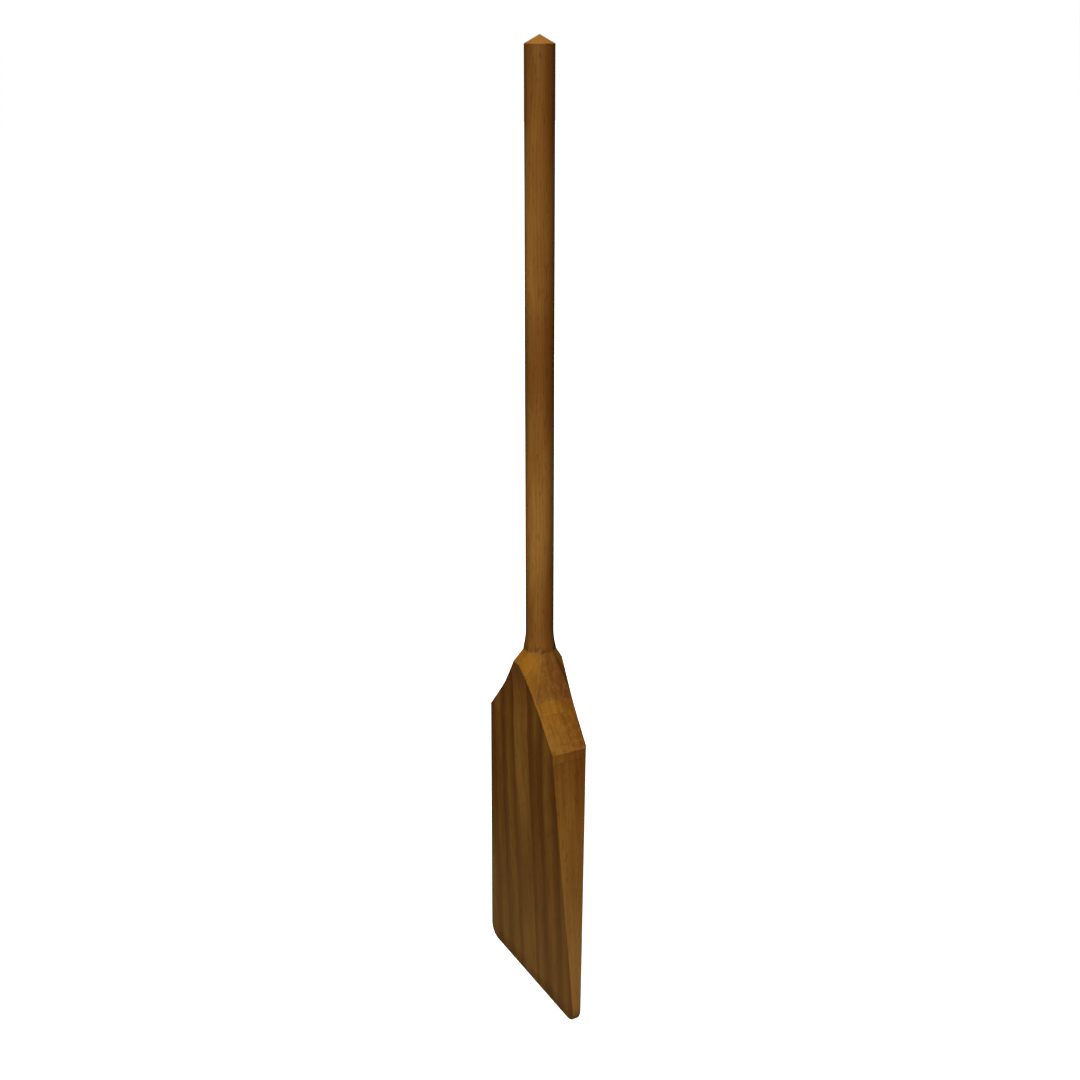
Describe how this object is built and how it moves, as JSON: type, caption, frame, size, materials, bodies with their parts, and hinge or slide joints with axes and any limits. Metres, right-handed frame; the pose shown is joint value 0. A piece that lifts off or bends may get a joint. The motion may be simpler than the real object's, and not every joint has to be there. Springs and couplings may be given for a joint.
{
  "type": "rowing oar",
  "caption": "Short wooden rowing oar: round shaft with a low cone on the handle end, flared neck, and a wide wedge-shaped blade glued up from strips.",
  "frame": {"origin": "on the shaft's axis where the oar lies in its oarlock, 380 mm below the handle end", "axes": "+Z along the shaft towards the handle end, +X across the blade, -Y out of the blade's front face"},
  "size_m": [0.2691, 0.07, 1.374],
  "materials": {
    "loom_wood": "satin varnish",
    "blade_wood": "satin varnish",
    "dowel_wood": "bare"
  },
  "bodies": {
    "root": {"loom": "loom_wood", "blade_strip_left_inner": "blade_wood", "blade_strip_left_middle": "blade_wood", "blade_strip_left_outer": "blade_wood", "blade_strip_right_inner": "blade_wood", "blade_strip_right_middle": "blade_wood", "blade_strip_right_outer": "blade_wood", "inner_joint_dowels": "dowel_wood", "middle_joint_dowels": "dowel_wood", "outer_joint_dowels": "dowel_wood"}
  },
  "joints": []
}
